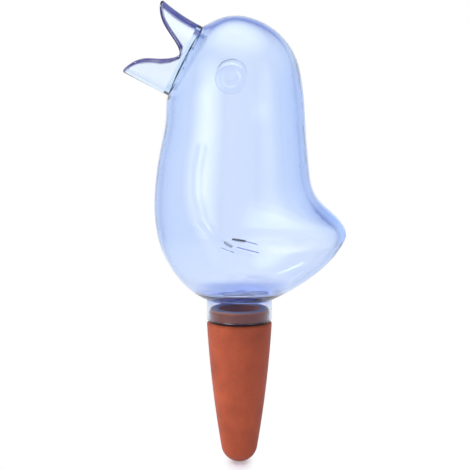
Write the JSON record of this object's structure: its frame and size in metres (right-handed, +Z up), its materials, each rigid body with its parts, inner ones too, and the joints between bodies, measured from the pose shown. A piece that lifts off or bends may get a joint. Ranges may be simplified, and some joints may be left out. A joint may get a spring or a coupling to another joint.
{
  "type": "watering globe",
  "caption": "Bird-shaped clear blue water reservoir with an open beak to fill it, on a porous clay cone that feeds a potted plant's soil.",
  "frame": {"origin": "on the cone's axis at its shoulder, which is the soil line", "axes": "+Z up along the cone and neck, -X towards the beak, +X towards the tail, Y across the bird"},
  "size_m": [0.1057, 0.063, 0.2223],
  "materials": {
    "blue_clear_plastic": "transparent blue tint, polished",
    "clear_plastic": "transparent, nearly colourless, polished",
    "clear_rubber": "translucent, satin",
    "terracotta": "unglazed fired clay, matt and porous"
  },
  "bodies": {
    "spike": {"clay_cone": "terracotta"},
    "seal": {"neck_seal": "clear_rubber"},
    "bird": {"bird_reservoir": "blue_clear_plastic", "beak_spout": "clear_plastic"}
  },
  "joints": [
    {"name": "turn", "type": "hinge", "parent": "spike", "child": "seal", "pos_m": [0, 0, 0.004], "axis": [0, 0, 1], "continuous": true},
    {"name": "lift_off", "type": "slide", "parent": "seal", "child": "bird", "axis": [0, 0, 1], "range_m": [0, 0.016]}
  ]
}
